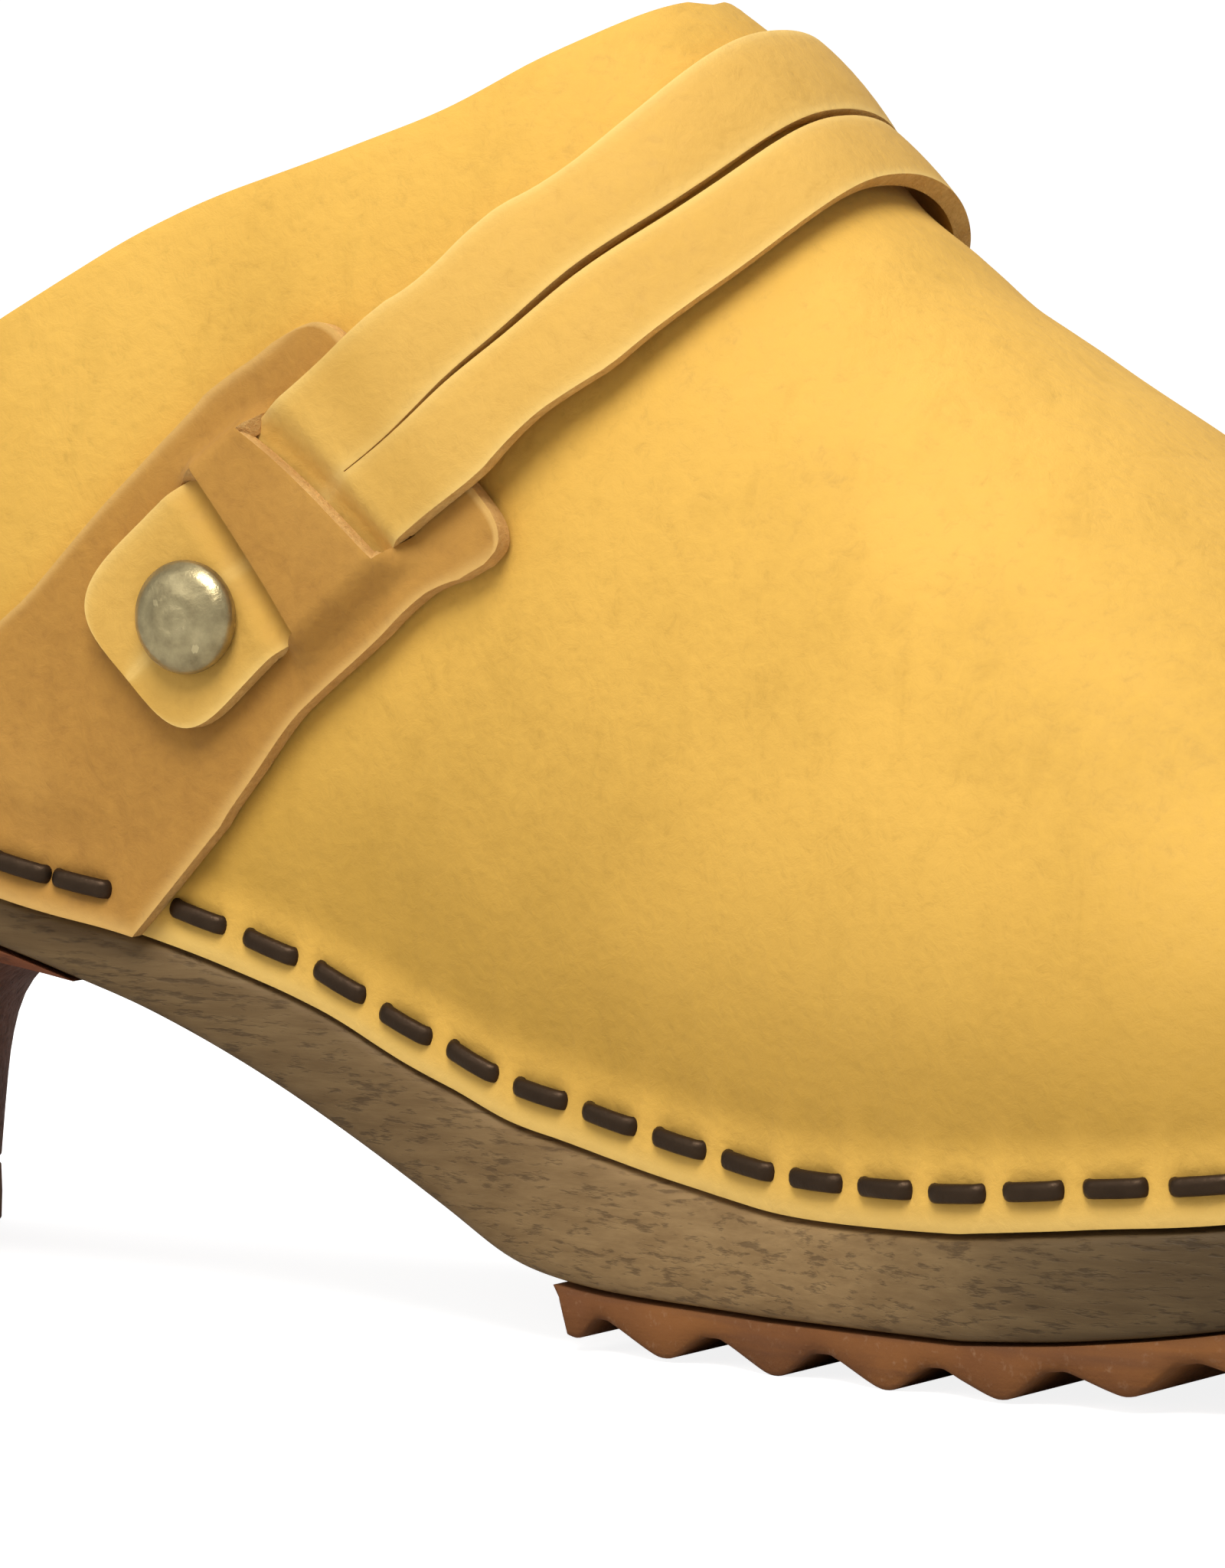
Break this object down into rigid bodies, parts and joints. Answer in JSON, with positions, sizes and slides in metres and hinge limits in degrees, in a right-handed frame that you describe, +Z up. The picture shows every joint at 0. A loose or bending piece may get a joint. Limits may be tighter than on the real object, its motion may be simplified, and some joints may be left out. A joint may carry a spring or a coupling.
{
  "type": "clog",
  "caption": "Open-back clog with a carved wooden sole on a high heel, a stapled nubuck upper, and a slit instep strap woven through riveted side tabs; right foot.",
  "frame": {"origin": "on the ground under the middle of the object's bounding box", "axes": "+X points to the toe, +Y to the inner side of the foot, +Z up"},
  "size_m": [0.2534, 0.0958, 0.1217],
  "materials": {
    "upper_leather": "mustard nubuck, soft nap",
    "tab_leather": "tan nubuck, waxed",
    "strap_leather": "pale mustard nubuck",
    "stained_wood": "grey-brown stain, satin",
    "heel_wood": "dark reddish brown stain",
    "sole_rubber": "matte reddish brown",
    "rivet_metal": "antique brass, worn bright on top",
    "staple_wire": "dark bronze coating",
    "screw_steel": "plain zinc"
  },
  "bodies": {
    "root": {"upper": "upper_leather", "outer_tab": "tab_leather", "inner_tab": "tab_leather", "strap": "strap_leather", "wooden_sole": "stained_wood", "heel_block": "heel_wood", "heel_top_piece": "sole_rubber", "front_outsole": "sole_rubber", "outer_rivet_cap": "rivet_metal", "inner_rivet_cap": "rivet_metal", "outer_rivet_post": "rivet_metal", "inner_rivet_post": "rivet_metal", "heel_screw_1": "screw_steel", "heel_screw_2": "screw_steel", "staple_01": "staple_wire", "staple_02": "staple_wire", "staple_03": "staple_wire", "staple_04": "staple_wire", "staple_05": "staple_wire", "staple_06": "staple_wire", "staple_07": "staple_wire", "staple_08": "staple_wire", "staple_09": "staple_wire", "staple_10": "staple_wire", "staple_11": "staple_wire", "staple_12": "staple_wire", "staple_13": "staple_wire", "staple_14": "staple_wire", "staple_15": "staple_wire", "staple_16": "staple_wire", "staple_17": "staple_wire", "staple_18": "staple_wire", "staple_19": "staple_wire", "staple_20": "staple_wire", "staple_21": "staple_wire", "staple_22": "staple_wire", "staple_23": "staple_wire", "staple_24": "staple_wire", "staple_25": "staple_wire", "staple_26": "staple_wire", "staple_27": "staple_wire", "staple_28": "staple_wire", "staple_29": "staple_wire", "staple_30": "staple_wire", "staple_31": "staple_wire", "staple_32": "staple_wire"}
  },
  "joints": []
}
